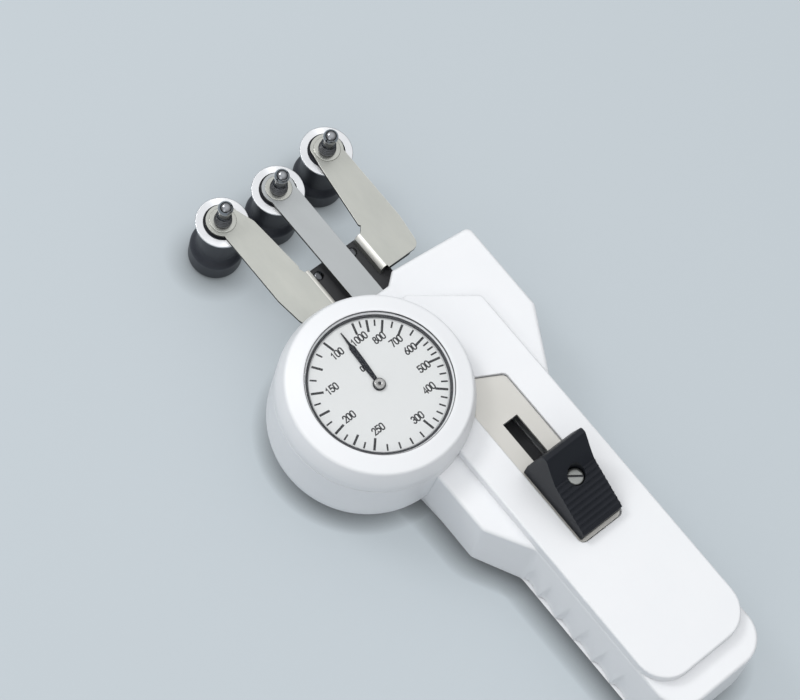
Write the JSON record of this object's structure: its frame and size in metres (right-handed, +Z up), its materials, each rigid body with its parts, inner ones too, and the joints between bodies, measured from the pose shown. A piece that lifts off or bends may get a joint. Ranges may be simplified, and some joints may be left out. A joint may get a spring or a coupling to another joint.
{
  "type": "tension gauge",
  "caption": "Hand-held dial gauge for thread tension: metal housing with a handle, thumb slider, sprung roller carriage, measuring arm and dial.",
  "frame": {"origin": "on the flat underside, on the handle's middle line, level with the dial's centre", "axes": "+Y from the handle towards the rollers, +Z up out of the dial, +X to the right seen from above"},
  "size_m": [0.0976, 0.2267, 0.0547],
  "materials": {
    "white_paint": "satin enamel",
    "satin_nickel": "satin nickel-plated sheet",
    "window_metal": "fine matt anodised",
    "black_plastic": "moulded, slightly grained",
    "dial_white": "matt printed",
    "crystal_glass": "clear",
    "bright_aluminium": "turned",
    "chrome": "polished",
    "steel": "plain",
    "dark_steel": "blackened",
    "brass": "turned"
  },
  "bodies": {
    "housing": {"main_housing": "white_paint", "rear_cover": "white_paint", "cover_screw_1": "steel", "cover_screw_2": "steel", "cover_screw_3": "steel", "cover_screw_4": "steel", "chassis_plate": "steel", "chassis_screw_1": "steel", "chassis_screw_2": "steel", "chassis_screw_3": "steel", "left_slider_rail": "steel", "right_slider_rail": "steel", "front_guide_post": "steel", "rear_guide_post": "steel", "return_spring_block": "steel", "measuring_spring_block": "steel", "window_plate": "window_metal", "lower_movement_plate": "brass", "upper_movement_plate": "brass", "movement_pillar_1": "brass", "movement_pillar_2": "brass", "movement_pillar_3": "brass"},
    "bezel": {"bezel": "white_paint", "crystal": "crystal_glass", "dial_plate": "dial_white", "dial_retaining_ring": "steel"},
    "carriage": {"left_arm": "satin_nickel", "right_arm": "satin_nickel", "carriage_web": "dark_steel", "slider_bar": "dark_steel", "left_rivet": "steel", "right_rivet": "steel", "bar_bolt": "steel", "return_spring": "steel", "left_axle_clip": "steel", "right_axle_clip": "steel", "thumb_slider": "black_plastic", "slider_screw": "chrome", "left_axle_stud": "chrome", "right_axle_stud": "chrome"},
    "measuring": {"measuring_arm": "satin_nickel", "drive_pin": "steel", "measuring_spring": "steel", "center_axle_clip": "steel", "center_axle_stud": "chrome"},
    "sector": {"sector_gear": "brass"},
    "pointer": {"pinion_arbor": "steel", "pointer": "black_plastic", "pointer_hub": "bright_aluminium"},
    "left_roller": {"left_roller": "black_plastic", "left_roller_ring": "bright_aluminium", "left_bearing": "brass"},
    "right_roller": {"right_roller": "black_plastic", "right_roller_ring": "bright_aluminium", "right_bearing": "brass"},
    "center_roller": {"center_roller": "black_plastic", "center_roller_ring": "bright_aluminium", "center_bearing": "brass"}
  },
  "joints": [
    {"name": "carriage_slide", "type": "slide", "parent": "housing", "child": "carriage", "axis": [0, 1, 0], "range_m": [0, 0.0155], "stiffness_N_per_m": 300, "springref_m": -0.015, "deforming": ["return_spring"]},
    {"name": "left_roller_spin", "type": "hinge", "parent": "carriage", "child": "left_roller", "pos_m": [-0.0298, 0.0775, 0.014], "axis": [0, 0, 1], "continuous": true},
    {"name": "right_roller_spin", "type": "hinge", "parent": "carriage", "child": "right_roller", "pos_m": [0.0142, 0.0775, 0.014], "axis": [0, 0, 1], "continuous": true},
    {"name": "measuring_slide", "type": "slide", "parent": "housing", "child": "measuring", "axis": [0, -1, 0], "range_m": [0, 0.00187], "stiffness_N_per_m": 4000, "springref_m": -0.0002, "deforming": ["measuring_spring"]},
    {"name": "center_roller_spin", "type": "hinge", "parent": "measuring", "child": "center_roller", "pos_m": [-0.0078, 0.0758, 0.014], "axis": [0, 0, 1], "continuous": true},
    {"name": "sector_turn", "type": "hinge", "parent": "housing", "child": "sector", "pos_m": [-0.0106, 0, 0.0348], "axis": [0, 0, -1], "range_deg": [0, 34.66]},
    {"name": "pointer_turn", "type": "hinge", "parent": "housing", "child": "pointer", "pos_m": [-0.0304, 0, 0.0348], "axis": [0, 0, 1], "range_deg": [0, 346.6]},
    {"name": "bezel_turn", "type": "hinge", "parent": "housing", "child": "bezel", "pos_m": [-0.0304, 0, 0.04], "axis": [0, 0, 1], "range_deg": [-20, 20]}
  ],
  "couplings": [
    {"joint": "sector_turn", "follows": "measuring_slide", "rad_per_m": 323.1},
    {"joint": "pointer_turn", "follows": "measuring_slide", "rad_per_m": 3231}
  ]
}
